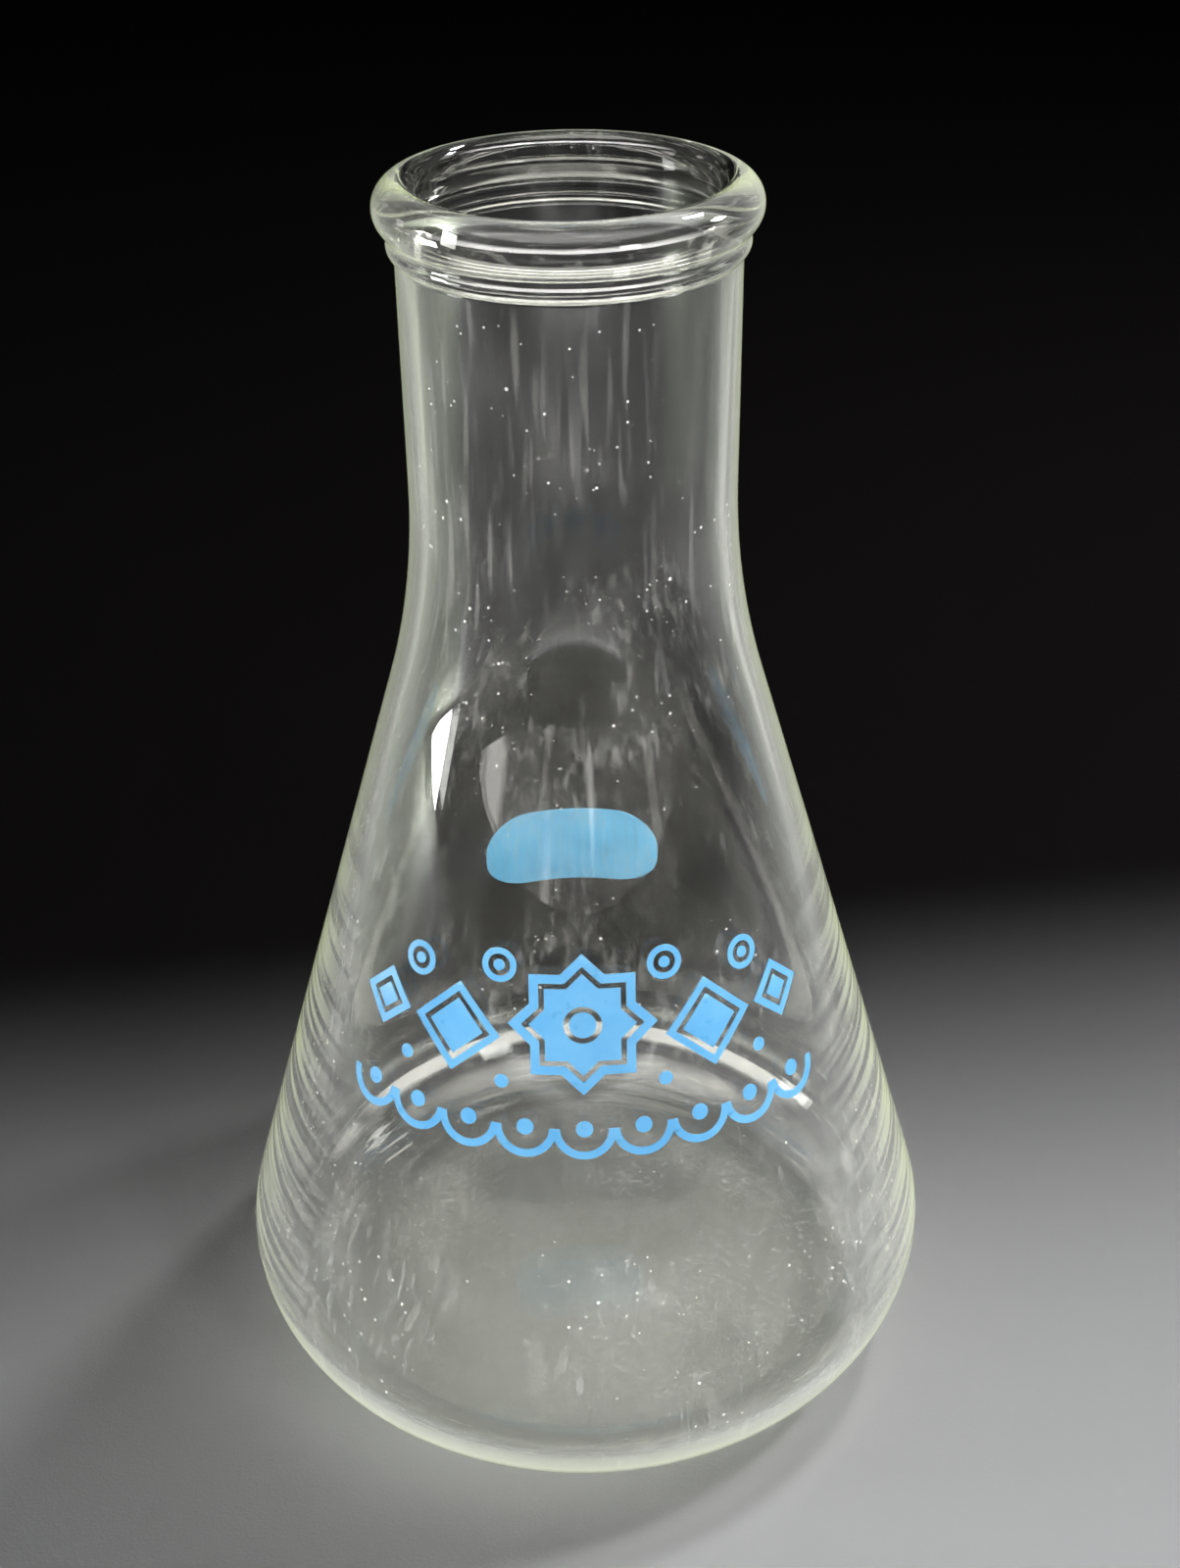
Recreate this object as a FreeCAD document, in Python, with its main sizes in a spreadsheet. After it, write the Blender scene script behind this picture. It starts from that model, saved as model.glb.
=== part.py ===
# Conical laboratory flask of clear glass with light blue fired-on enamel.
#
# The glass is one blown wall: a rounded rim over a small collar, a straight neck, a long
# soft shoulder, a cone and a heavy heel that stands on a ring round a shallow push-up.
# A marking spot is printed on the back, and a star between diamonds and rings, over a
# scalloped border, on the front. Each printed figure is a thin skin on the cone.
#
# Millimetres. The origin is the middle of the foot on the standing plane, +Z is up and
# the printed front faces -Y.
import FreeCAD, Part
import math
import os
import Sketcher

Vector = FreeCAD.Vector
doc = FreeCAD.newDocument("conical_flask")

# Driving dimensions. A turn is in degrees round the axis from straight in front, and a
# reach is from a figure's middle to its points.
SIZES = [
    ("total_height", 139.0, "standing plane to mouth"),
    ("body_diameter", 82.0, "widest place, in the heel"),
    ("neck_diameter", 33.4, "outside of the straight neck"),
    ("neck_length", 30.6, "mouth down to the start of the shoulder"),
    ("wall", 1.9, "glass of neck, shoulder and cone"),
    ("base_thickness", 2.8, "glass of the foot"),
    ("heel_radius", 13.2, "outside round from foot to cone"),
    ("floor_radius", 10.5, "inside round from floor to cone"),
    ("shoulder_radius", 78.0, "outside sweep from cone to neck"),
    ("push_up", 0.9, "rise of the foot at the axis"),
    ("foot_ring_width", 3.8, "flat ring that the flask stands on"),
    ("rim_overhang", 1.9, "rounded rim out past the neck"),
    ("rim_radius", 2.65, "round of the rim"),
    ("collar_overhang", 0.75, "collar under the rim, out past the neck"),
    ("collar_radius", 1.1, "round of the collar"),
    ("collar_drop", 6.1, "mouth down to the collar's middle"),
    ("crease_radius", 0.9, "hollow between rim and collar"),
    ("collar_blend", 0.7, "hollow between collar and neck"),
    ("enamel", 0.1, "thickness of the print"),
    ("spot_drop", 42.2, "middle of the marking spot below the upper end of the cone"),
    ("spot_turn", 182.0, "marking spot, on the back"),
    ("spot_width", 23.8, "marking spot from end to end"),
    ("spot_depth", 13.8, "marking spot from bottom to top"),
    ("spot_flat", 1.8, "straight stretch of its short sides, between the round corners"),
    ("star_drop", 26.2, "middle of the star below the upper end of the cone"),
    ("star_reach", 7.7, "star"),
    ("star_band", 1.35, "band round the star, at its points"),
    ("star_line", 0.8, "clear line inside the band, at its points"),
    ("star_eye", 2.0, "radius of the round hole in the star"),
    ("eye_line", 0.6, "clear line round the disc in that hole"),
    ("figure_gap", 0.8, "clear glass between the star and the diamonds"),
    ("diamond_drop", 1.8, "middle of the diamonds below the star's"),
    ("diamond_reach", 5.0, "large diamonds"),
    ("small_diamond_reach", 3.4, "small diamonds"),
    ("diamond_band", 1.1, "band round a diamond, at its points"),
    ("diamond_line", 0.8, "clear line inside the band, at its points"),
    ("ring_radius", 1.85, "outside of a ring"),
    ("ring_band", 0.65, "width of a ring"),
    ("ring_dot", 0.6, "radius of the dot in a ring"),
    ("inner_ring_gap", 1.1, "clear glass from an upper point of the star to the ring beside it"),
    ("outer_ring_gap", 2.6, "clear glass from a ring down to the two diamonds below it"),
    ("dot_radius", 0.75, "dots between the figures and the border"),
    ("dot_gap", 3.0, "clear glass from a dot up to the diamonds beside it"),
    ("border_gap", 3.8, "clear glass from the star's lowest point to the scallops"),
    ("scallop_radius", 3.4, "outside of a scallop"),
    ("scallop_band", 0.85, "width of a scallop's line"),
    ("scallop_lap", 0.6, "overlap of neighbouring scallops"),
    ("drop_radius", 0.9, "dot in each scallop"),
]
SCALLOPS_A_SIDE = 4  # beside the middle one
SQUARE = 4  # sides of the prism behind stars and diamonds
GLASS_DENSITY = 2.23e-3  # borosilicate glass, grams per cubic millimetre


def make_sheet():
    table = doc.addObject("Spreadsheet::Sheet", "sizes")
    for row, (alias, value, note) in enumerate(SIZES, start=1):
        table.set(f"A{row}", note)
        table.set(f"B{row}", str(value))
        table.setAlias(f"B{row}", alias)
    doc.recompute()
    return table


sheet = make_sheet()


def size(alias):
    return float(sheet.get(alias))


# The blown glass: one wall section turned about the axis. In the section x is the radius
# and y the height.
START, END, CENTRE = range(1, 4)  # points of a line or an arc
ORIGIN = (-1, 1)
FOOT_LINE, AXIS = range(-1, -3, -1)  # the sketch's own axes


def arc(centre, start, end):
    """Arc anticlockwise from start towards end."""
    first = math.atan2(start.y - centre.y, start.x - centre.x)
    last = math.atan2(end.y - centre.y, end.x - centre.x)
    if last < first:
        last += 2 * math.pi
    circle = Part.Circle(centre, Vector(0, 0, 1), (start - centre).Length)
    return Part.ArcOfCircle(circle, first, last)


def section_curves():
    """The section's curves about where they belong; the constraints place them exactly."""
    wall, top = size("wall"), size("total_height")
    neck = size("neck_diameter") / 2
    bore = neck - wall
    bend = top - size("neck_length")
    heel, sweep, floor = size("heel_radius"), size("shoulder_radius"), size("floor_radius")
    heel_in = size("body_diameter") / 2 - heel
    rise, base = size("push_up"), size("base_thickness")
    ring_in = heel_in - size("foot_ring_width")

    heel_mid = Vector(heel_in, heel)
    sweep_mid = Vector(neck + sweep, bend)
    between = sweep_mid - heel_mid
    lean = math.atan2(between.y, between.x) - math.acos((heel + sweep) / between.Length)
    out = Vector(math.cos(lean), math.sin(lean))
    cone_foot = heel_mid + out * heel
    cone_top = sweep_mid - out * sweep
    floor_mid = Vector(heel_in, base + floor)
    floor_edge = Vector(heel_in, base)
    inner_foot = floor_mid + out * floor
    inner_top = sweep_mid - out * (sweep + wall)
    dome = Vector(0, (rise ** 2 - ring_in ** 2) / (2 * rise))

    round_rim = size("rim_radius")
    rim = neck + size("rim_overhang") - round_rim
    rim_mid, crest = Vector(rim, top - round_rim), Vector(rim, top)
    bead, blend = size("collar_radius"), size("collar_blend")
    collar_mid = Vector(neck + size("collar_overhang") - bead, top - size("collar_drop"))
    collar_low = collar_mid + Vector(bead, -bead) / math.sqrt(2)
    collar_high = collar_mid + Vector(bead, 0)
    rim_low = rim_mid + Vector(round_rim, -round_rim) / math.sqrt(2)
    crease_mid = (collar_high + rim_low) / 2 + Vector(size("crease_radius"), 0)
    neck_top = Vector(neck, collar_low.y - blend / 2)
    lip_mid = Vector(rim, top - rim + bore)

    return {
        "foot_dome": arc(dome, Vector(ring_in, 0), Vector(0, rise)),
        "foot_ring": Part.LineSegment(Vector(ring_in, 0), Vector(heel_in, 0)),
        "heel": arc(heel_mid, Vector(heel_in, 0), cone_foot),
        "cone": Part.LineSegment(cone_foot, cone_top),
        "shoulder": arc(sweep_mid, Vector(neck, bend), cone_top),
        "neck": Part.LineSegment(Vector(neck, bend), neck_top),
        "blend": arc(neck_top + Vector(blend, 0), collar_low, neck_top),
        "collar": arc(collar_mid, collar_low, collar_high),
        "crease": arc(crease_mid, rim_low, collar_high),
        "rim": arc(rim_mid, rim_low, crest),
        "lip": arc(lip_mid, crest, Vector(bore, lip_mid.y)),
        "bore": Part.LineSegment(Vector(bore, lip_mid.y), Vector(bore, bend)),
        "inner_shoulder": arc(sweep_mid, Vector(bore, bend), inner_top),
        "inner_cone": Part.LineSegment(inner_top, inner_foot),
        "floor_round": arc(floor_mid, floor_edge, inner_foot),
        "floor": arc(dome, floor_edge, Vector(0, rise + base)),
        "axis": Part.LineSegment(Vector(0, rise + base), Vector(0, rise)),
    }


def smooth_joints(at):
    """Where one curve of the section runs on into the next without a corner."""
    joints = [
        ("foot_ring", END, "heel", START),
        ("heel", END, "cone", START),
        ("cone", END, "shoulder", END),
        ("shoulder", START, "neck", START),
        ("neck", END, "blend", END),
        ("blend", START, "collar", START),
        ("collar", END, "crease", END),
        ("crease", START, "rim", START),
        ("rim", END, "lip", START),
        ("lip", END, "bore", START),
        ("bore", END, "inner_shoulder", START),
        ("inner_shoulder", END, "inner_cone", START),
        ("inner_cone", END, "floor_round", END),
        ("floor_round", START, "floor", START),
    ]
    return [Sketcher.Constraint("Tangent", at[a], p, at[b], q) for a, p, b, q in joints]


def section_rules(at):
    """Corners, upright lines and what lies on the axis or on the standing plane."""
    return [
        Sketcher.Constraint("Coincident", at["foot_dome"], START, at["foot_ring"], START),
        Sketcher.Constraint("Coincident", at["foot_dome"], END, at["axis"], END),
        Sketcher.Constraint("Coincident", at["floor"], END, at["axis"], START),
        Sketcher.Constraint("Coincident", at["floor"], CENTRE, at["foot_dome"], CENTRE),
        Sketcher.Constraint("Coincident", at["inner_shoulder"], CENTRE, at["shoulder"], CENTRE),
        Sketcher.Constraint("PointOnObject", at["foot_dome"], CENTRE, AXIS),
        Sketcher.Constraint("PointOnObject", at["foot_dome"], END, AXIS),
        Sketcher.Constraint("PointOnObject", at["floor"], END, AXIS),
        Sketcher.Constraint("PointOnObject", at["foot_ring"], START, FOOT_LINE),
        Sketcher.Constraint("PointOnObject", at["foot_ring"], END, FOOT_LINE),
        Sketcher.Constraint("Vertical", at["neck"]),
        Sketcher.Constraint("Vertical", at["bore"]),
        Sketcher.Constraint("Vertical", at["rim"], CENTRE, at["rim"], END),
        Sketcher.Constraint("Parallel", at["cone"], at["inner_cone"]),
    ]


def section_sizes(at):
    """Name, kind, places and rule of each constraint that a driving dimension sets."""
    ring, collar = at["foot_ring"], at["collar"]
    heel_in = "sizes.body_diameter / 2 - sizes.heel_radius"
    rim_in = "sizes.neck_diameter / 2 + sizes.rim_overhang - sizes.rim_radius"
    collar_in = "sizes.neck_diameter / 2 + sizes.collar_overhang - sizes.collar_radius"
    return [
        ("heel_round", "Radius", (at["heel"],), "sizes.heel_radius"),
        ("heel_in", "DistanceX", (*ORIGIN, at["heel"], CENTRE), heel_in),
        ("ring_width", "DistanceX", (ring, START, ring, END), "sizes.foot_ring_width"),
        ("rise", "DistanceY", (*ORIGIN, at["foot_dome"], END), "sizes.push_up"),
        ("base", "DistanceY", (at["axis"], END, at["axis"], START), "sizes.base_thickness"),
        ("floor_bend", "Radius", (at["floor_round"],), "sizes.floor_radius"),
        ("sweep", "Radius", (at["shoulder"],), "sizes.shoulder_radius"),
        ("half_neck", "DistanceX", (*ORIGIN, at["neck"], START), "sizes.neck_diameter / 2"),
        ("half_bore", "DistanceX", (*ORIGIN, at["bore"], START), "sizes.neck_diameter / 2 - sizes.wall"),
        ("neck_drop", "DistanceY", (at["neck"], START, at["rim"], END), "sizes.neck_length"),
        ("top", "DistanceY", (*ORIGIN, at["rim"], END), "sizes.total_height"),
        ("rim_bend", "Radius", (at["rim"],), "sizes.rim_radius"),
        ("rim_in", "DistanceX", (*ORIGIN, at["rim"], CENTRE), rim_in),
        ("collar_bend", "Radius", (collar,), "sizes.collar_radius"),
        ("collar_in", "DistanceX", (*ORIGIN, collar, CENTRE), collar_in),
        ("collar_down", "DistanceY", (collar, CENTRE, at["rim"], END), "sizes.collar_drop"),
        ("crease_bend", "Radius", (at["crease"],), "sizes.crease_radius"),
        ("blend_bend", "Radius", (at["blend"],), "sizes.collar_blend"),
    ]


def measure(sketch, name, constraint):
    """A constraint that reads the finished section and sets nothing."""
    index = sketch.addConstraint(constraint)
    sketch.setDriving(index, False)
    sketch.renameConstraint(index, name)


def make_flask():
    body = doc.addObject("PartDesign::Body", "flask")
    body.Label = "flask"
    sketch = body.newObject("Sketcher::SketchObject", "wall_section")
    upright = next(f for f in body.Origin.OriginFeatures if f.Role == "XZ_Plane")
    sketch.AttachmentSupport = [(upright, "")]
    sketch.MapMode = "FlatFace"
    at = {name: sketch.addGeometry(curve) for name, curve in section_curves().items()}
    sketch.addConstraint(smooth_joints(at) + section_rules(at))
    for name, kind, places, rule in section_sizes(at):
        index = sketch.addConstraint(Sketcher.Constraint(kind, *places, sketch.evalExpression(rule)))
        sketch.renameConstraint(index, name)
        sketch.setExpression(f"Constraints.{name}", rule)
    # The cone's slope and ends, and the radius at which its line would meet the standing plane
    foot_point = sketch.addGeometry(Part.Point(Vector(size("body_diameter") / 2, 0)), True)
    sketch.addConstraint(Sketcher.Constraint("PointOnObject", foot_point, START, FOOT_LINE))
    sketch.addConstraint(Sketcher.Constraint("PointOnObject", foot_point, START, at["cone"]))
    measure(sketch, "cone_reach", Sketcher.Constraint("DistanceX", *ORIGIN, foot_point, START, 1.0))
    measure(sketch, "cone_lean", Sketcher.Constraint("Angle", AXIS, START, at["cone"], START, 1.0))
    measure(sketch, "cone_foot", Sketcher.Constraint("DistanceY", *ORIGIN, at["cone"], START, 1.0))
    measure(sketch, "cone_top", Sketcher.Constraint("DistanceY", *ORIGIN, at["cone"], END, 1.0))
    doc.recompute()
    turned = body.newObject("PartDesign::Revolution", "turned_wall")
    turned.Profile = sketch
    turned.ReferenceAxis = (sketch, ["V_Axis"])
    turned.Angle = 360
    doc.recompute()
    return body


flask = make_flask()

# The print. A figure is first a flat stencil drawn in the XY plane and standing along +Z as
# a bar. The bar is laid from the axis square through the wall at the figure's place, and
# what it shares with the skin, an enamel-thick layer on the cone, is the figure.
LEAN = "wall_section.Constraints.cone_lean"
REACH = "wall_section.Constraints.cone_reach"
CONE_FOOT = "wall_section.Constraints.cone_foot"
CONE_TOP = "wall_section.Constraints.cone_top"


def length(alias):
    return f"(sizes.{alias} * 1 mm)"


def cone_radius(height):
    return f"({REACH} - {height} * tan({LEAN}))"


def half_turn(reach, height):
    """The turn round the cone, at a height, from a figure's middle to a reach beside it."""
    return f"asin({reach} / {cone_radius(height)})"


def up_cone(distance):
    """The height gained by a distance up the cone's slope."""
    return f"{distance} * cos({LEAN})"


BAR = f"{length('body_diameter')} / 2 / cos({LEAN})"


def bound(kind, name, **rules):
    """A new object of the document with its properties tied to expressions."""
    thing = doc.addObject(kind, name)
    for prop, rule in rules.items():
        thing.setExpression(prop.replace("__", "."), rule)
    return thing


def cone_solid(name, cover):
    """The straight stretch of the outside cone, grown by a cover."""
    return bound(
        "Part::Cone", name,
        Radius1=f"{cone_radius(CONE_FOOT)} + {cover} / cos({LEAN})",
        Radius2=f"{cone_radius(CONE_TOP)} + {cover} / cos({LEAN})",
        Height=f"{CONE_TOP} - {CONE_FOOT}",
        Placement__Base__z=CONE_FOOT,
    )


def cut(name, base, tool):
    result = doc.addObject("Part::Cut", name)
    result.Base = base
    result.Tool = tool
    return result


def fused(name, pieces):
    result = doc.addObject("Part::MultiFuse", name)
    result.Shapes = pieces
    return result


def grouped(name, pieces):
    result = doc.addObject("Part::Compound", name)
    result.Links = pieces
    return result


def disc(name, radius, angle="360"):
    return bound("Part::Cylinder", name, Radius=radius, Height=BAR, Angle=angle)


def square(name, reach, turn="0"):
    """A square bar with a corner on +X."""
    bar = bound("Part::Prism", name, Circumradius=reach, Height=BAR)
    bar.Polygon = SQUARE
    bar.setExpression("Placement.Rotation.Angle", turn)
    return bar


def star(name, reach):
    """Two squares an eighth of a turn apart make eight points."""
    return fused(name, [square(f"{name}_square", reach), square(f"{name}_turned", reach, "45")])


def band(name, shape, reach, width):
    """The edge of a shape: the shape less a smaller one of its kind."""
    return cut(name, shape(f"{name}_outer", reach), shape(f"{name}_inner", f"{reach} - {width}"))


def printed(label, stencil, turn, height):
    """A stencil laid on the skin, turned from the front and at a height on the cone."""
    laid = grouped(f"{label}_stencil", stencil)
    middle = f"{height} - {cone_radius(height)} * tan({LEAN})"
    laid.setExpression(
        "Placement", f"placement(vector(0 mm; 0 mm; {middle}); rotation({turn}; 0; 90 deg - {LEAN}))"
    )
    figure = doc.addObject("Part::Common", label)
    figure.Base = skin
    figure.Tool = laid
    figure.Label = label
    return figure


def mirrored(label, stencil, turn, height):
    """The same figure to the left and to the right of the front."""
    left = printed(f"{label}_left", stencil, f"-({turn})", height)
    right = printed(f"{label}_right", stencil, turn, height)
    return [left, right]


def spot_stencil():
    """A rounded rectangle: two crossed bars with a disc in each corner."""
    width, depth, flat = length("spot_width"), length("spot_depth"), length("spot_flat")
    corner = f"({depth} - {flat}) / 2"
    narrow = f"({width} - {depth} + {flat})"
    pieces = []
    for name, along, across in (("spot_middle", narrow, depth), ("spot_long", width, flat)):
        pieces.append(bound(
            "Part::Box", name, Length=along, Width=across, Height=BAR,
            Placement__Base__x=f"-{along} / 2", Placement__Base__y=f"-{across} / 2",
        ))
    for side in (-1, 1):
        for end in (-1, 1):
            round_end = disc(f"spot_corner_{len(pieces) - 1}", corner)
            round_end.setExpression("Placement.Base.x", f"{side} * {narrow} / 2")
            round_end.setExpression("Placement.Base.y", f"{end} * {flat} / 2")
            pieces.append(round_end)
    return [fused("spot", pieces)]


def star_stencil():
    reach, width, eye = length("star_reach"), length("star_band"), length("star_eye")
    heart = f"{reach} - {width} - {length('star_line')}"
    return [
        band("star_edge", star, reach, width),
        cut("star_heart", star("star_core", heart), disc("star_hole", eye)),
        disc("star_disc", f"{eye} - {length('eye_line')}"),
    ]


def diamond_stencil(name, reach):
    width = length("diamond_band")
    heart = f"{reach} - {width} - {length('diamond_line')}"
    return [band(f"{name}_edge", square, reach, width), square(f"{name}_heart", heart)]


def ring_stencil():
    edge = band("ring_edge", disc, length("ring_radius"), length("ring_band"))
    return [edge, disc("ring_heart", length("ring_dot"))]


def scallop_stencil():
    """The lower half of a ring."""
    outer = disc("scallop_outer", length("scallop_radius"), "180")
    outer.setExpression("Placement.Rotation.Angle", "180")
    inner = disc("scallop_inner", f"{length('scallop_radius')} - {length('scallop_band')}")
    return [cut("scallop", outer, inner)]


# The star, its diamonds and the notches between them follow each other round the cone.
STAR_HEIGHT = f"({CONE_TOP} - {length('star_drop')})"
DIAMOND_HEIGHT = f"({STAR_HEIGHT} - {length('diamond_drop')})"


def side_turn(reach):
    """The turn from a figure's middle to the middle of the gap beside it."""
    return half_turn(f"({reach} + {length('figure_gap')} / 2)", DIAMOND_HEIGHT)


INNER_NOTCH = side_turn(length("star_reach"))
LARGE_TURN = f"{INNER_NOTCH} + {side_turn(length('diamond_reach'))}"
OUTER_NOTCH = f"{LARGE_TURN} + {side_turn(length('diamond_reach'))}"
SMALL_TURN = f"{OUTER_NOTCH} + {side_turn(length('small_diamond_reach'))}"


def notch_rise(radius, gap):
    """How far above or below the diamonds' middle a round figure clears both their edges."""
    return up_cone(f"(({radius} + {gap}) / cos(45 deg) - {length('figure_gap')} / 2)")


def make_figures():
    """The star with large and small diamonds beside it."""
    large = diamond_stencil("large", length("diamond_reach"))
    small = diamond_stencil("small", length("small_diamond_reach"))
    return [
        printed("star", star_stencil(), "0", STAR_HEIGHT),
        *mirrored("diamond", large, LARGE_TURN, DIAMOND_HEIGHT),
        *mirrored("small_diamond", small, SMALL_TURN, DIAMOND_HEIGHT),
    ]


def make_rings():
    """A ring level with the star's top on each side, and one over each outer notch."""
    ring, reach, radius = ring_stencil(), length("star_reach"), length("ring_radius")
    inner_height = f"({STAR_HEIGHT} + {up_cone(f'({reach} - {radius})')})"
    beside = f"({reach} * cos(45 deg) + {length('inner_ring_gap')} + {radius})"
    outer_height = f"({DIAMOND_HEIGHT} + {notch_rise(radius, length('outer_ring_gap'))})"
    return [
        *mirrored("inner_ring", ring, half_turn(beside, inner_height), inner_height),
        *mirrored("outer_ring", ring, OUTER_NOTCH, outer_height),
    ]


def make_dots():
    """A dot under each notch."""
    dot, radius = [disc("dot", length("dot_radius"))], length("dot_radius")
    height = f"({DIAMOND_HEIGHT} - {notch_rise(radius, length('dot_gap'))})"
    inner = mirrored("inner_dot", dot, INNER_NOTCH, height)
    outer = mirrored("outer_dot", dot, OUTER_NOTCH, height)
    return grouped("dots", inner + outer)


def make_border():
    """A chain of scallops under the figures, with a dot in each."""
    arch, drop = scallop_stencil(), [disc("drop", length("drop_radius"))]
    below_star = up_cone(f"({length('star_reach')} + {length('border_gap')})")
    height = f"({STAR_HEIGHT} - {below_star})"
    half_step = half_turn(f"({length('scallop_radius')} - {length('scallop_lap')} / 2)", height)
    arches, drops = [], []
    for step in range(-SCALLOPS_A_SIDE, SCALLOPS_A_SIDE + 1):
        number = step + SCALLOPS_A_SIDE + 1
        turn = f"{step} * 2 * {half_step}"
        arches.append(printed(f"scallop_{number}", arch, turn, height))
        drops.append(printed(f"drop_{number}", drop, turn, height))
    border = fused("scallop_border", arches)
    border.Refine = True
    return [border, grouped("border_drops", drops)]


outside, inside = cone_solid("skin_outside", length("enamel")), cone_solid("skin_inside", "0 mm")
skin = cut("print_skin", outside, inside)
spot_height = f"({CONE_TOP} - {length('spot_drop')})"
spot = printed("marking_spot", spot_stencil(), "sizes.spot_turn", spot_height)
nodes = [flask, spot, *make_figures(), *make_rings(), make_dots(), *make_border()]
doc.recompute()


# Every object has to have worked out before anything is written.
for thing in doc.Objects:
    if {"Invalid", "Error"} & set(thing.State):
        raise RuntimeError(f"{thing.Name} did not work out: {thing.State}")
for node in nodes:
    if node.Shape.isNull() or not node.Shape.isValid() or not node.Shape.Solids:
        raise RuntimeError(f"{node.Label} has no sound solid")

os.makedirs("parts", exist_ok=True)
for node in nodes:
    node.Shape.exportStep(f"parts/{node.Label}.step")
    grams = node.Shape.Volume * GLASS_DENSITY
    print(f"{node.Label}: {len(node.Shape.Solids)} solid(s), {grams:.2f} g")
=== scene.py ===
import math

import bmesh
import bpy
from mathutils import Matrix, Vector


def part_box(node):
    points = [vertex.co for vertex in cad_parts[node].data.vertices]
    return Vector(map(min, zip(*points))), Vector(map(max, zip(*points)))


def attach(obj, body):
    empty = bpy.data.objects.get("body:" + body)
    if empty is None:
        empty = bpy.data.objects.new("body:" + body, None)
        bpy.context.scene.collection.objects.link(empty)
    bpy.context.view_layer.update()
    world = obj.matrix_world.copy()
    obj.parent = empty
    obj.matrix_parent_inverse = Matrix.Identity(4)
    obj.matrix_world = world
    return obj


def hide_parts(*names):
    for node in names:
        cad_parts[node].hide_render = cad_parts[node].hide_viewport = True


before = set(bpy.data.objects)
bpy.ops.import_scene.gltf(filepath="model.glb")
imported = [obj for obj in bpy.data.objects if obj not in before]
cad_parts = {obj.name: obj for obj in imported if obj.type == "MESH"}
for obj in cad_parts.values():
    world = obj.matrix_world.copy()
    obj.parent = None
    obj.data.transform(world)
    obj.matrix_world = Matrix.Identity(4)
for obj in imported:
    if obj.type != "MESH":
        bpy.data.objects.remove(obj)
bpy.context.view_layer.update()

# A conical flask of clear glass with light blue enamel, in metres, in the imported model's frame:
# the foot stands on z = 0, the axis is z and the printed front faces -y.
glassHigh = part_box("flask")[1]
mm = 0.001

glassShape = {
    "height": glassHigh.z,
    "bodyRadius": glassHigh.x,
    "neckRadius": 16.7 * mm,
    "neckLength": 30.6 * mm,
    "wall": 1.9 * mm,
    "base": 2.8 * mm,
    "heel": 13.2 * mm,        # radius of the outer bend at the foot
    "floorRound": 10.5 * mm,  # and of the inner one
    "shoulder": 78.0 * mm,    # radius of the sweep from cone to neck
    "pushUp": 0.9 * mm,       # height of the hollow under the foot
    "footRing": 3.8 * mm,     # width of the flat ring round it
    "rimOverhang": 1.9 * mm,  # past the neck
    "rim": 2.65 * mm,         # radius of its section
    "collarOverhang": 0.75 * mm,
    "collar": 1.1 * mm,
    "collarDrop": 6.1 * mm,   # under the top
    "crease": 0.9 * mm,       # between rim and collar
    "blend": 0.7 * mm,        # between collar and neck
    "segments": 192,          # round the axis
    "bendTurn": 6.0,          # most degrees from one point of a bend to the next
    "bendLength": 1.8 * mm,   # and most length
    "straightLength": 5.0 * mm,
}


# Section of the glass. A point is Vector((radius, height)).
def towards(centre, radius, degrees):
    angle = math.radians(degrees)
    return centre + radius * Vector((math.cos(angle), math.sin(angle)))


def bend(centre, radius, first, last):
    turn = last - first
    length = radius * math.radians(abs(turn))
    steps = max(2, math.ceil(abs(turn) / glassShape["bendTurn"]),
                math.ceil(length / glassShape["bendLength"]))
    return [towards(centre, radius, first + turn * i / steps) for i in range(steps + 1)]


def straight(start, end):
    steps = max(1, round((end - start).length / glassShape["straightLength"]))
    return [start.lerp(end, i / steps) for i in range(1, steps)]


def heading(start, end):
    return math.degrees(math.atan2(end.y - start.y, end.x - start.x))


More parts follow.
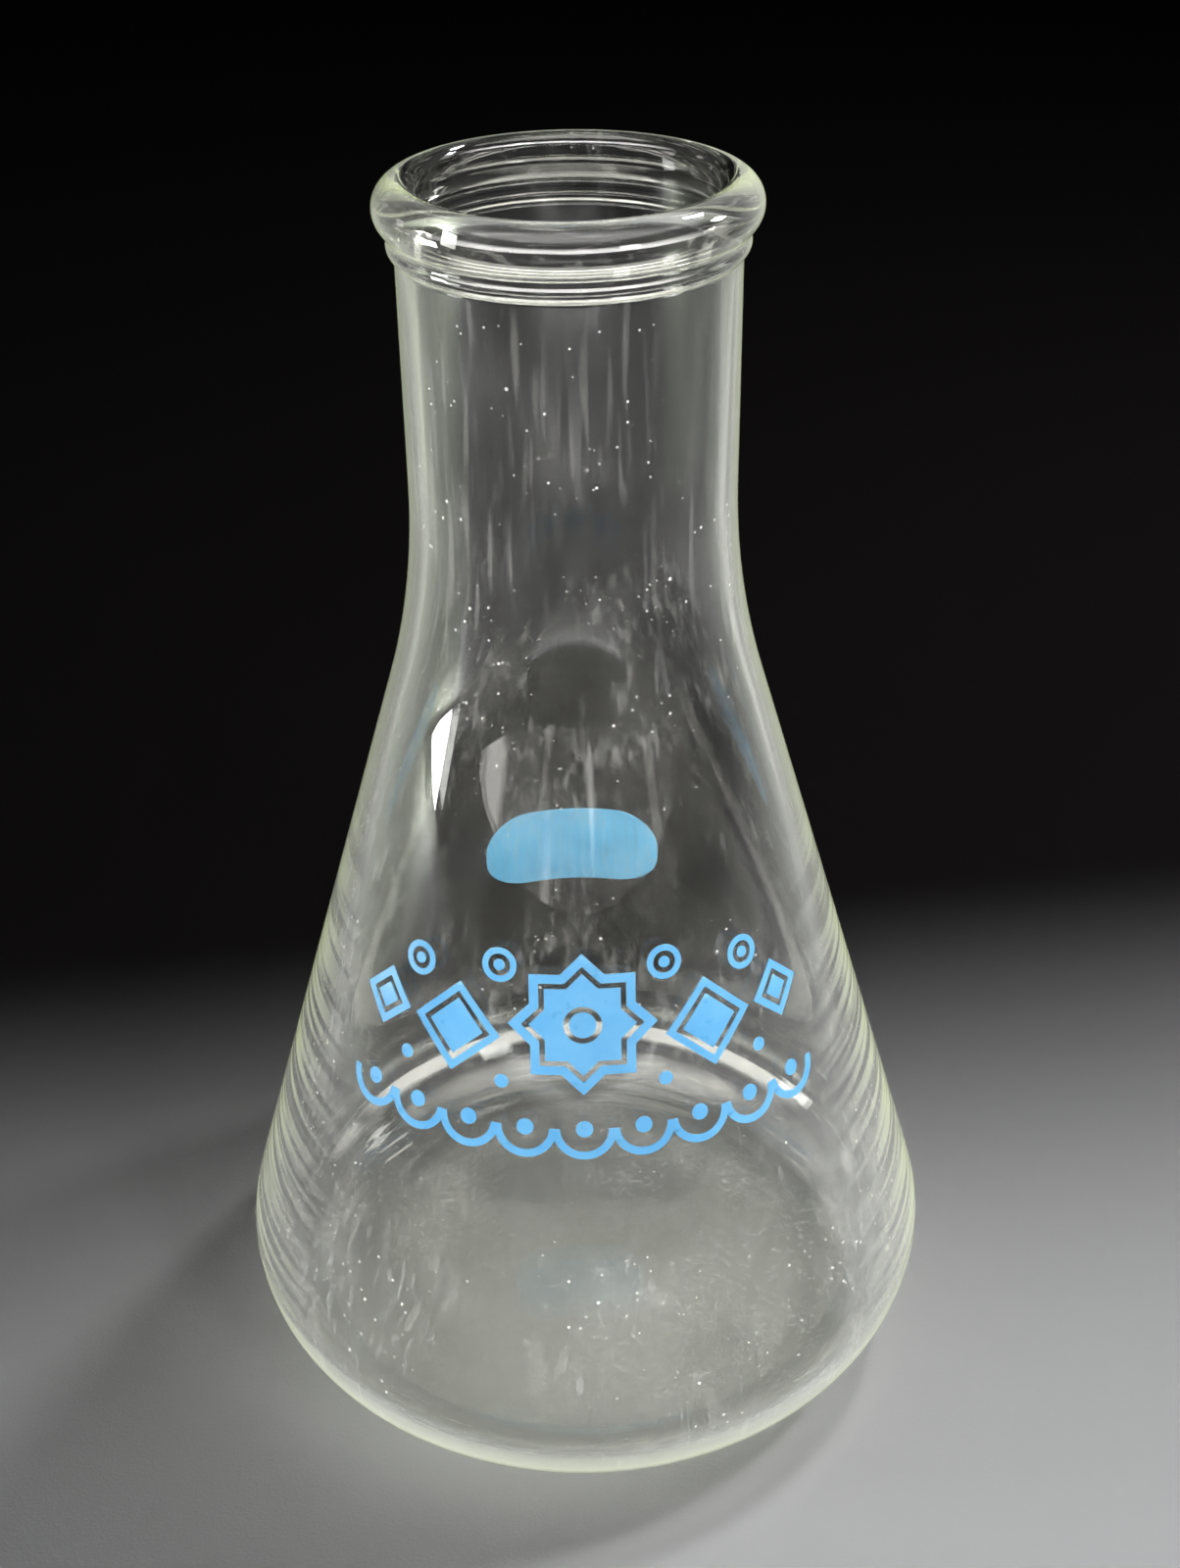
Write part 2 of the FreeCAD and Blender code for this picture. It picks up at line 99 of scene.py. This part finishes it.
def glassSection():
    s = glassShape
    bore = s["neckRadius"] - s["wall"]
    heelIn = s["bodyRadius"] - s["heel"]
    ringIn = heelIn - s["footRing"]
    bendHeight = s["height"] - s["neckLength"]
    heel = Vector((heelIn, s["heel"]))
    sweep = Vector((s["neckRadius"] + s["shoulder"], bendHeight))
    lean = heading(heel, sweep) - math.degrees(
        math.acos((s["heel"] + s["shoulder"]) / (sweep - heel).length))
    rim = Vector((s["neckRadius"] + s["rimOverhang"] - s["rim"], s["height"] - s["rim"]))
    lip = Vector((rim.x, s["height"] - rim.x + bore))
    collar = Vector((s["neckRadius"] + s["collarOverhang"] - s["collar"], s["height"] - s["collarDrop"]))
    # the crease touches rim and collar, the blend touches collar and neck
    toRim, toCollar = s["rim"] + s["crease"], s["collar"] + s["crease"]
    apart = rim - collar
    along = (toCollar ** 2 - toRim ** 2 + apart.length ** 2) / (2 * apart.length)
    aside = math.sqrt(toCollar ** 2 - along ** 2)
    unit = apart.normalized()
    crease = collar + along * unit + aside * Vector((unit.y, -unit.x))
    blendIn = s["neckRadius"] + s["blend"]
    drop = math.sqrt((s["collar"] + s["blend"]) ** 2 - (blendIn - collar.x) ** 2)
    blend = Vector((blendIn, collar.y - drop))
    # domes of foot and floor share one centre, the floor round touches floor and inner cone
    dome = Vector((0, (s["pushUp"] ** 2 - ringIn ** 2) / (2 * s["pushUp"])))
    footDome = s["pushUp"] - dome.y
    floorDome = footDome + s["base"]
    coneNormal = towards(Vector((0, 0)), 1, lean)
    innerLine = coneNormal.dot(sweep) - s["shoulder"] - s["wall"] - s["floorRound"]
    reach = floorDome + s["floorRound"]
    across = innerLine - coneNormal.dot(dome)
    turn = math.degrees(math.acos(across / reach))
    floorMid = dome + reach * towards(Vector((0, 0)), 1, lean + turn)
    innerSweep = s["shoulder"] + s["wall"]
    domeFirst, floorLast = heading(dome, Vector((ringIn, 0))), heading(dome, floorMid)

    outline = bend(dome, footDome, 90, domeFirst)
    outline += bend(heel, s["heel"], -90, lean)
    outline += straight(towards(heel, s["heel"], lean), towards(sweep, -s["shoulder"], lean))
    outline += bend(sweep, s["shoulder"], 180 + lean, 180)
    outline += straight(Vector((s["neckRadius"], bendHeight)), Vector((s["neckRadius"], blend.y)))
    outline += bend(blend, s["blend"], 180, heading(blend, collar))
    outline += bend(collar, s["collar"], heading(collar, blend), heading(collar, crease))[1:]
    outline += bend(crease, s["crease"], heading(crease, collar) % 360, heading(crease, rim) % 360)[1:]
    outline += bend(rim, s["rim"], heading(rim, crease), 90)[1:]
    outline += bend(lip, lip.x - bore, 90, 180)[1:]
    outline += straight(Vector((bore, lip.y)), Vector((bore, bendHeight)))
    outline += bend(sweep, innerSweep, 180, 180 + lean)
    outline += straight(towards(sweep, -innerSweep, lean), towards(floorMid, s["floorRound"], lean))
    outline += bend(floorMid, s["floorRound"], lean, floorLast - 180)
    outline += bend(dome, floorDome, floorLast, 90)[1:]
    return outline


def finishMesh(bm, name):
    bmesh.ops.remove_doubles(bm, verts=bm.verts, dist=1e-7)
    bmesh.ops.recalc_face_normals(bm, faces=bm.faces)
    mesh = bpy.data.meshes.new(name)
    bm.to_mesh(mesh)
    bm.free()
    piece = bpy.data.objects.new(name, mesh)
    bpy.context.scene.collection.objects.link(piece)
    return piece


def makeGlass():
    bm = bmesh.new()
    points = [bm.verts.new((p.x, 0, p.y)) for p in glassSection()]
    edges = [bm.edges.new(pair) for pair in zip(points, points[1:])]
    bmesh.ops.spin(bm, geom=points + edges, cent=(0, 0, 0), axis=(0, 0, 1),
                   angle=math.tau, steps=glassShape["segments"], use_merge=True)
    glass = finishMesh(bm, "glassWall")
    glass.data.shade_smooth()
    # 1 where the wall faces away from the axis, 0 inside the flask
    outside = glass.data.attributes.new("outside", "FLOAT", "POINT")
    for vertex, share in zip(glass.data.vertices, outside.data):
        share.value = float(vertex.normal.xy.dot(vertex.co.xy) > 0)
    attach(glass, "root")
    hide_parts("flask")
    return glass


# Small helpers for node materials.
def newMaterial(name):
    material = bpy.data.materials.new(name)
    material.use_nodes = True
    tree = material.node_tree
    return material, tree, tree.nodes["Principled BSDF"], tree.nodes["Material Output"]


def node(tree, kind, values=None, **settings):
    made = tree.nodes.new(kind)
    for key, value in settings.items():
        setattr(made, key, value)
    for socket, value in (values or {}).items():
        if isinstance(value, bpy.types.NodeSocket):
            tree.links.new(value, made.inputs[socket])
        else:
            made.inputs[socket].default_value = value
    return made


def objectPoints(tree, scale=(1, 1, 1)):
    place = node(tree, "ShaderNodeTexCoord").outputs["Object"]
    return node(tree, "ShaderNodeMapping", {"Vector": place, "Scale": scale}).outputs["Vector"]


def noise(tree, points, scale, detail=2.0, roughness=0.5):
    return node(tree, "ShaderNodeTexNoise",
                {"Vector": points, "Scale": scale, "Detail": detail, "Roughness": roughness}).outputs["Fac"]


def ramp(tree, value, fromLow, fromHigh, toLow=0.0, toHigh=1.0):
    return node(tree, "ShaderNodeMapRange",
                {"Value": value, "From Min": fromLow, "From Max": fromHigh,
                 "To Min": toLow, "To Max": toHigh}).outputs["Result"]


def sums(tree, operation, first, second=0.0):
    return node(tree, "ShaderNodeMath", {0: first, 1: second}, operation=operation).outputs[0]


def mixValue(tree, share, first, second):
    return node(tree, "ShaderNodeMix", {0: share, 2: first, 3: second}).outputs[0]


def mixColour(tree, share, first, second):
    return node(tree, "ShaderNodeMix", {0: share, 6: first, 7: second}, data_type="RGBA").outputs[2]


glassFinish = {
    "bendsLight": 1.473,
    "tint": (0.72, 0.84, 0.36, 1),     # what is left of white in thick glass
    "tintDensity": 20.0,
    "wave": 0.06,                      # of the drawn wall
    "waveScale": 110.0,
    "waveHeight": 0.4 * mm,
    "film": 0.013,                     # dust and dried water, as a share of plain white
    "baseFilm": 0.032,                 # the same on the base
    "cloudScale": 55.0,
    "streakScale": 260.0,
    "smear": 0.10,                     # roughness of the thickest film
    "dash": 0.07,                      # dried runs down the wall
    "dashScale": 1100.0,
    "speckScale": 520.0,
    "speckSize": 0.12,                 # of a cell
    "speckClear": 0.35,                # clear glass left in a speck
    "paintedEdgeSheen": 0.90,                  # film seen edge on
    "edgeFrom": 0.34,                  # painted sheen: pale share of the wall where it is seen edge on, for light the glass bends towards the eye there
    "edgeFade": 1.8,
    # colour of the painted edge sheen and heel glow
    "paintedEdgeColour": (0.86, 0.94, 0.60, 1),
    "ring": 0.48,                      # how much the mould's rings vary the painted pale edge
    "ringScale": 1100.0,
    "paintedHeelGlow": 0.75,                  # painted glow: pale share on the heel's bend, for light gathered in the thick heel
    "shadowMiddle": 0.32,              # light that one face lets through to the floor
    "shadowEdge": 0.0,
}


# Painted sheen and glow: the heel's outer bend and the outer wall are painted paler and more yellow where
# they are seen edge on, for light that the thick glass gathers and bends there.
def paintedEdgeLight(tree, place, across, edgeOn, facing):
    f = glassFinish
    heelUp = glassShape["heel"]
    up = sums(tree, "SUBTRACT", place["Z"], heelUp)
    squares = sums(tree, "ADD", sums(tree, "MULTIPLY", across, across), sums(tree, "MULTIPLY", up, up))
    fromMiddle = sums(tree, "SQRT", squares)         # of the heel's bend
    onBend = sums(tree, "MULTIPLY", ramp(tree, fromMiddle, heelUp - 0.5 * mm, heelUp - 0.2 * mm),
                  ramp(tree, place["Z"], 14.0 * mm, 5.0 * mm))
    onHeel = sums(tree, "MULTIPLY", onBend, ramp(tree, across, -1.0 * mm, 0.0))
    # painted glow on the heel's bend
    glow = sums(tree, "MULTIPLY", onHeel, ramp(tree, facing, f["edgeFrom"], 0.55, 0.0, f["paintedHeelGlow"]))

    # rings that the mould left on the cone
    rings = noise(tree, objectPoints(tree, (0.05, 0.05, 1)), f["ringScale"], 0.0)
    varied = ramp(tree, rings, 0.35, 0.65, 1.0 - f["ring"], 1.0 + f["ring"])
    onCone = sums(tree, "MULTIPLY", ramp(tree, place["Z"], 75.0 * mm, 50.0 * mm),
                  ramp(tree, place["Z"], 9.0 * mm, 18.0 * mm))
    outside = node(tree, "ShaderNodeAttribute", attribute_name="outside").outputs["Fac"]
    ringed = mixValue(tree, onCone, 1.0, varied)
    edge = sums(tree, "MULTIPLY", sums(tree, "MULTIPLY", edgeOn, outside), ringed)
    share = sums(tree, "ADD", sums(tree, "MULTIPLY", edge, f["paintedEdgeSheen"]), glow)
    return share, sums(tree, "MAXIMUM", edge, glow)


def clearGlass():
    f = glassFinish
    material, tree, shader, output = newMaterial("clearGlass")
    shader.inputs["IOR"].default_value = f["bendsLight"]
    points = objectPoints(tree)
    drawn = objectPoints(tree, (1, 1, 0.12))         # waves and streaks run up and down the wall
    waves = noise(tree, drawn, f["waveScale"], 0.0)
    bump = node(tree, "ShaderNodeBump",
                {"Height": waves, "Strength": f["wave"], "Distance": f["waveHeight"]})
    tree.links.new(bump.outputs["Normal"], shader.inputs["Normal"])

    place = node(tree, "ShaderNodeSeparateXYZ", {"Vector": points}).outputs
    flat = node(tree, "ShaderNodeCombineXYZ", {"X": place["X"], "Y": place["Y"]})
    away = node(tree, "ShaderNodeVectorMath", {0: flat.outputs[0]}, operation="LENGTH").outputs["Value"]
    across = sums(tree, "SUBTRACT", away, glassShape["bodyRadius"] - glassShape["heel"])
    facing = node(tree, "ShaderNodeLayerWeight", {"Blend": 0.5}).outputs["Facing"]
    edgeOn = sums(tree, "POWER", ramp(tree, facing, f["edgeFrom"], 1.0), f["edgeFade"])
    # painted sheen on the edges and painted glow on the heel, taken from transmission and tinting the base
    # colour
    edge, yellow = paintedEdgeLight(tree, place, across, edgeOn, facing)
    tree.links.new(mixColour(tree, yellow, (1, 1, 1, 1), f["paintedEdgeColour"]), shader.inputs["Base Color"])

    # film in clouds and streaks, more of it on the base, and dried runs where it is thick
    mottle = noise(tree, points, f["cloudScale"], 1.5, 0.65)
    streaks = noise(tree, drawn, f["streakScale"], 1.0, 0.7)
    haze = sums(tree, "ADD", ramp(tree, mottle, 0.53, 0.72), ramp(tree, streaks, 0.55, 0.78))
    onBase = sums(tree, "MULTIPLY", ramp(tree, place["Z"], 10.0 * mm, 3.0 * mm),
                  ramp(tree, across, -1.0 * mm, -6.0 * mm))
    share = ramp(tree, onBase, 0.0, 1.0, f["film"], f["baseFilm"])
    runs = noise(tree, objectPoints(tree, (1, 1, 0.07)), f["dashScale"], 0.0)
    dashes = sums(tree, "MULTIPLY", ramp(tree, runs, 0.62, 0.74),
                  ramp(tree, mottle, 0.47, 0.58, 0.0, f["dash"]))
    film = sums(tree, "ADD", sums(tree, "MULTIPLY", haze, share), dashes)
    clear = sums(tree, "SUBTRACT", 1.0, sums(tree, "ADD", film, edge))
    tree.links.new(ramp(tree, haze, 0.20, 1.0, 0.0, f["smear"]), shader.inputs["Roughness"])

    # specks of dust, larger where the film is thick
    specks = node(tree, "ShaderNodeTexVoronoi", {"Vector": points, "Scale": f["speckScale"]})
    reach = ramp(tree, mottle, 0.42, 0.66, 0.02 * f["speckSize"], f["speckSize"])
    fromSpeck = sums(tree, "DIVIDE", specks.outputs["Distance"], reach)
    clear = sums(tree, "MINIMUM", clear, ramp(tree, fromSpeck, 0.6, 1.0, f["speckClear"], 1.0))
    tree.links.new(clear, shader.inputs["Transmission Weight"])
    inside = node(tree, "ShaderNodeVolumeAbsorption", {"Color": f["tint"], "Density": f["tintDensity"]})
    tree.links.new(inside.outputs[0], output.inputs["Volume"])

    # lamps shine through the glass, less where it is seen edge on
    shade = ramp(tree, edgeOn, 0.0, 1.0, f["shadowMiddle"], f["shadowEdge"])
    through = node(tree, "ShaderNodeBsdfTransparent", {"Color": shade})
    shadowRay = node(tree, "ShaderNodeLightPath").outputs["Is Shadow Ray"]
    mixed = node(tree, "ShaderNodeMixShader", {0: shadowRay, 1: shader.outputs[0], 2: through.outputs[0]})
    tree.links.new(mixed.outputs[0], output.inputs["Surface"])
    return material


enamelGrain = {
    "cloudScale": 220.0,
    "satinScale": 900.0,
    "grainScale": 1800.0,
    "grain": 0.2,
    "grainHeight": 0.02 * mm,
}
enamelFinish = {
    "blue": (0.12, 0.43, 0.79, 1),
    "paleBlue": (0.17, 0.50, 0.84, 1),
    "roughness": (0.26, 0.40),         # from the smoothest to the roughest place
}
spotLitFinish = {                         # thinner and lit from both sides; its colours are set apart from the print's enamel to paint in the light that reaches the spot through the glass
    "blue": (0.12, 0.44, 0.76, 1),
    "paleBlue": (0.17, 0.51, 0.82, 1),
    "roughness": (0.30, 0.44),
}


def blueEnamel(name, f):
    material, tree, shader, output = newMaterial(name)
    points = objectPoints(tree)
    g = enamelGrain
    cloud = ramp(tree, noise(tree, points, g["cloudScale"], 3.0), 0.35, 0.7)
    tree.links.new(mixColour(tree, cloud, f["blue"], f["paleBlue"]), shader.inputs["Base Color"])
    satin = noise(tree, points, g["satinScale"], 2.0)
    tree.links.new(ramp(tree, satin, 0.3, 0.7, *f["roughness"]), shader.inputs["Roughness"])
    grain = noise(tree, points, g["grainScale"], 2.0)
    bump = node(tree, "ShaderNodeBump",
                {"Height": grain, "Strength": g["grain"], "Distance": g["grainHeight"]})
    tree.links.new(bump.outputs["Normal"], shader.inputs["Normal"])
    return material


printShape = {
    "sharpEdge": 35.0,       # degrees between two faces that stay a crisp edge
}


def makePrint(name, enamel):
    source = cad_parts[name]
    bm = bmesh.new()
    bm.from_mesh(source.data)
    piece = finishMesh(bm, name + "_enamel")
    piece.data.shade_smooth()
    piece.data.set_sharp_from_angle(angle=math.radians(printShape["sharpEdge"]))
    piece.data.materials.clear()
    piece.data.materials.append(enamel)
    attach(piece, "root")
    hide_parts(name)


print("glass")
glass = makeGlass()
glass.data.materials.append(clearGlass())

print("print")
enamel, spotLitEnamel = blueEnamel("blueEnamel", enamelFinish), blueEnamel("spotLitEnamel", spotLitFinish)
for name in sorted(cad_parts):
    if name != "flask":
        makePrint(name, spotLitEnamel if name == "marking_spot" else enamel)

studio = {
    "floorRadius": 2.0,
    "floorDrop": 0.05 * mm,              # under the foot
    "floorGrain": 2600.0,
    "grainHeight": 0.1 * mm,
    "pale": (0.34, 0.342, 0.348, 1),
    "dark": (0.0045, 0.004, 0.004, 1),   # painted shade on the floor behind the flask, where the lamps' light falls off
    "paleTo": -0.060,                    # along y the floor is pale up to here
    "darkFrom": 0.080,                   # and dark from here, within the painted shade's width
    "paintedDarkTurn": 0.13,                   # its edge comes this much nearer for each metre to the left, so the left is shaded darker
    "paintedDarkHalf": 0.075,                  # half the painted shade's width at the flask
    "paintedDarkWidens": 0.32,                 # for each metre further back
    "paintedDarkFade": (0.02, 0.05),           # past its width the painted shade ends
    "cardFade": (0.05, 0.10),            # and the cards begin
    "leftCard": (0.70, 0.75, 0.64, 1),
    "rightCard": (0.18, 0.19, 0.17, 1),
    "room": 0.40,                        # light of the room in front and at the sides
    "behind": 0.0025,                    # and behind the flask
    "ambient": 0.06,
    "tone": (1, 0.98, 0.95, 1),
    "windows": 9.0,                      # times the room
    "windowScale": 3.6,
    "strip": 55.0,                       # low window behind the camera, times the room
    "ceiling": 12.0,                     # pale ceiling over the camera, times the room
}


def makeFloor():
    bm = bmesh.new()
    bmesh.ops.create_circle(bm, cap_ends=True, segments=96, radius=studio["floorRadius"])
    bmesh.ops.translate(bm, verts=bm.verts, vec=(0, 0, -studio["floorDrop"]))
    floor = finishMesh(bm, "floor")
    material, tree, shader, output = newMaterial("paleFloor")
    points = objectPoints(tree)
    place = node(tree, "ShaderNodeSeparateXYZ", {"Vector": points}).outputs
    # painted shade: the floor darkens backwards along y, sooner to the left, in a strip that widens further
    # back
    backwards = sums(tree, "SUBTRACT", place["Y"], sums(tree, "MULTIPLY", place["X"], studio["paintedDarkTurn"]))
    fade = {"Value": backwards, "From Min": studio["paleTo"], "From Max": studio["darkFrom"]}
    back = node(tree, "ShaderNodeMapRange", fade, interpolation_type="SMOOTHSTEP").outputs["Result"]
    half = sums(tree, "ADD", sums(tree, "MULTIPLY", place["Y"], studio["paintedDarkWidens"]), studio["paintedDarkHalf"])
    past = sums(tree, "SUBTRACT", sums(tree, "ABSOLUTE", place["X"]), half)
    paintedDark = sums(tree, "MULTIPLY", back, ramp(tree, past, *studio["paintedDarkFade"], 1.0, 0.0))
    beside = sums(tree, "MULTIPLY", back, ramp(tree, past, *studio["cardFade"]))
    card = mixColour(tree, ramp(tree, place["X"], -0.01, 0.01), studio["leftCard"], studio["rightCard"])
    pale = mixColour(tree, beside, studio["pale"], card)
    tree.links.new(mixColour(tree, paintedDark, pale, studio["dark"]), shader.inputs["Base Color"])
    shader.inputs["Roughness"].default_value = 0.9
    shader.inputs["Specular IOR Level"].default_value = 0.0
    grain = noise(tree, points, studio["floorGrain"], 1.0)
    bump = node(tree, "ShaderNodeBump",
                {"Height": grain, "Strength": 0.3, "Distance": studio["grainHeight"]})
    tree.links.new(bump.outputs["Normal"], shader.inputs["Normal"])
    floor.data.materials.append(material)


def makeWorld():
    world = bpy.data.worlds.new("studio")
    bpy.context.scene.world = world
    world.use_nodes = True
    tree = world.node_tree
    back = tree.nodes["Background"]
    ahead = node(tree, "ShaderNodeTexCoord").outputs["Generated"]
    along = node(tree, "ShaderNodeSeparateXYZ", {"Vector": ahead}).outputs
    plain = ramp(tree, along["Y"], 0.45, 0.85, studio["room"], studio["behind"])
    # what the glass mirrors: windows, a low strip behind the camera and the ceiling over it
    panes = noise(tree, ahead, studio["windowScale"], 3.0, 0.4)
    windows = ramp(tree, panes, 0.58, 0.66, 1.0, 1.0 + studio["windows"])
    level = sums(tree, "MULTIPLY", ramp(tree, along["Z"], 0.12, 0.14),
                 ramp(tree, along["Z"], 0.30, 0.45, 1.0, 0.0))
    strip = sums(tree, "MULTIPLY", level, ramp(tree, along["Y"], -0.6, 0.0, studio["strip"], 0.0))
    ceiling = sums(tree, "MULTIPLY", ramp(tree, along["Z"], 0.70, 0.80, 0.0, studio["ceiling"]),
                   ramp(tree, along["Y"], -0.2, 0.1, 1.0, 0.0))
    mirrored = sums(tree, "MULTIPLY", plain, sums(tree, "ADD", windows, sums(tree, "ADD", strip, ceiling)))
    path = node(tree, "ShaderNodeLightPath").outputs
    seen = sums(tree, "MAXIMUM", path["Is Camera Ray"], path["Is Transmission Ray"])
    direct = mixValue(tree, seen, studio["ambient"], plain)
    tree.links.new(mixValue(tree, path["Is Glossy Ray"], direct, mirrored), back.inputs["Strength"])
    back.inputs["Color"].default_value = studio["tone"]


lamps = {
    "keySoftbox": {"place": (0.27, 0.22, 0.54), "aim": (0, 0, 0.04), "size": (0.07, 0.07), "watts": 1.9},
    "sideSoftbox": {"place": (0.36, 0.10, 0.35), "aim": (0, 0, 0.04), "size": (0.06, 0.06), "watts": 1.6},
    "frontSoftbox": {"place": (0.34, -0.48, 0.34), "aim": (0, 0, 0.07), "size": (0.12, 0.14), "watts": 1.2},
    "leftSoftbox": {"place": (-0.55, -0.05, 0.08), "aim": (0, 0, 0.07), "size": (0.12, 0.14), "watts": 2.2},
    "lowStrip": {"place": (0.0, -0.46, 0.035), "aim": (0, 0, 0.02), "size": (0.50, 0.03), "watts": 1.2,
                 "mirrored": False},
}


def softbox(name, place, aim, size, watts, mirrored=True):
    data = bpy.data.lights.new(name, "AREA")
    data.shape = "RECTANGLE"
    data.size, data.size_y = size
    data.energy = watts
    lamp = bpy.data.objects.new(name, data)
    bpy.context.scene.collection.objects.link(lamp)
    turn = (Vector(aim) - Vector(place)).to_track_quat("-Z", "Y")
    lamp.matrix_world = Matrix.Translation(place) @ turn.to_matrix().to_4x4()
    lamp.visible_camera = False
    lamp.visible_glossy = mirrored
    lamp.visible_transmission = mirrored


view = {
    "place": (0.0, -193.3633 * mm, 190.1247 * mm),
    "down": 0.5486,          # radians below the horizon
    "aside": 0.0066,
    "tilt": -0.0142,
    "focal": 47.04,          # on a sensor 36 mm high
}


def makeCamera():
    data = bpy.data.cameras.new("camera")
    data.lens = view["focal"]
    data.sensor_width = 36
    data.clip_start = 0.01
    camera = bpy.data.objects.new("camera", data)
    bpy.context.scene.collection.objects.link(camera)
    ahead = Vector((math.sin(view["aside"]) * math.cos(view["down"]),
                    math.cos(view["aside"]) * math.cos(view["down"]), -math.sin(view["down"])))
    right = ahead.cross(Vector((0, 0, 1))).normalized()
    right = Matrix.Rotation(-view["tilt"], 3, ahead) @ right
    above = right.cross(ahead)
    turn = Matrix((right, above, -ahead)).transposed()
    camera.matrix_world = Matrix.Translation(view["place"]) @ turn.to_4x4()
    bpy.context.scene.camera = camera


print("studio")
makeFloor()
makeWorld()
for name, lamp in lamps.items():
    softbox(name, **lamp)
makeCamera()
bpy.context.scene.view_settings.view_transform = "Standard"
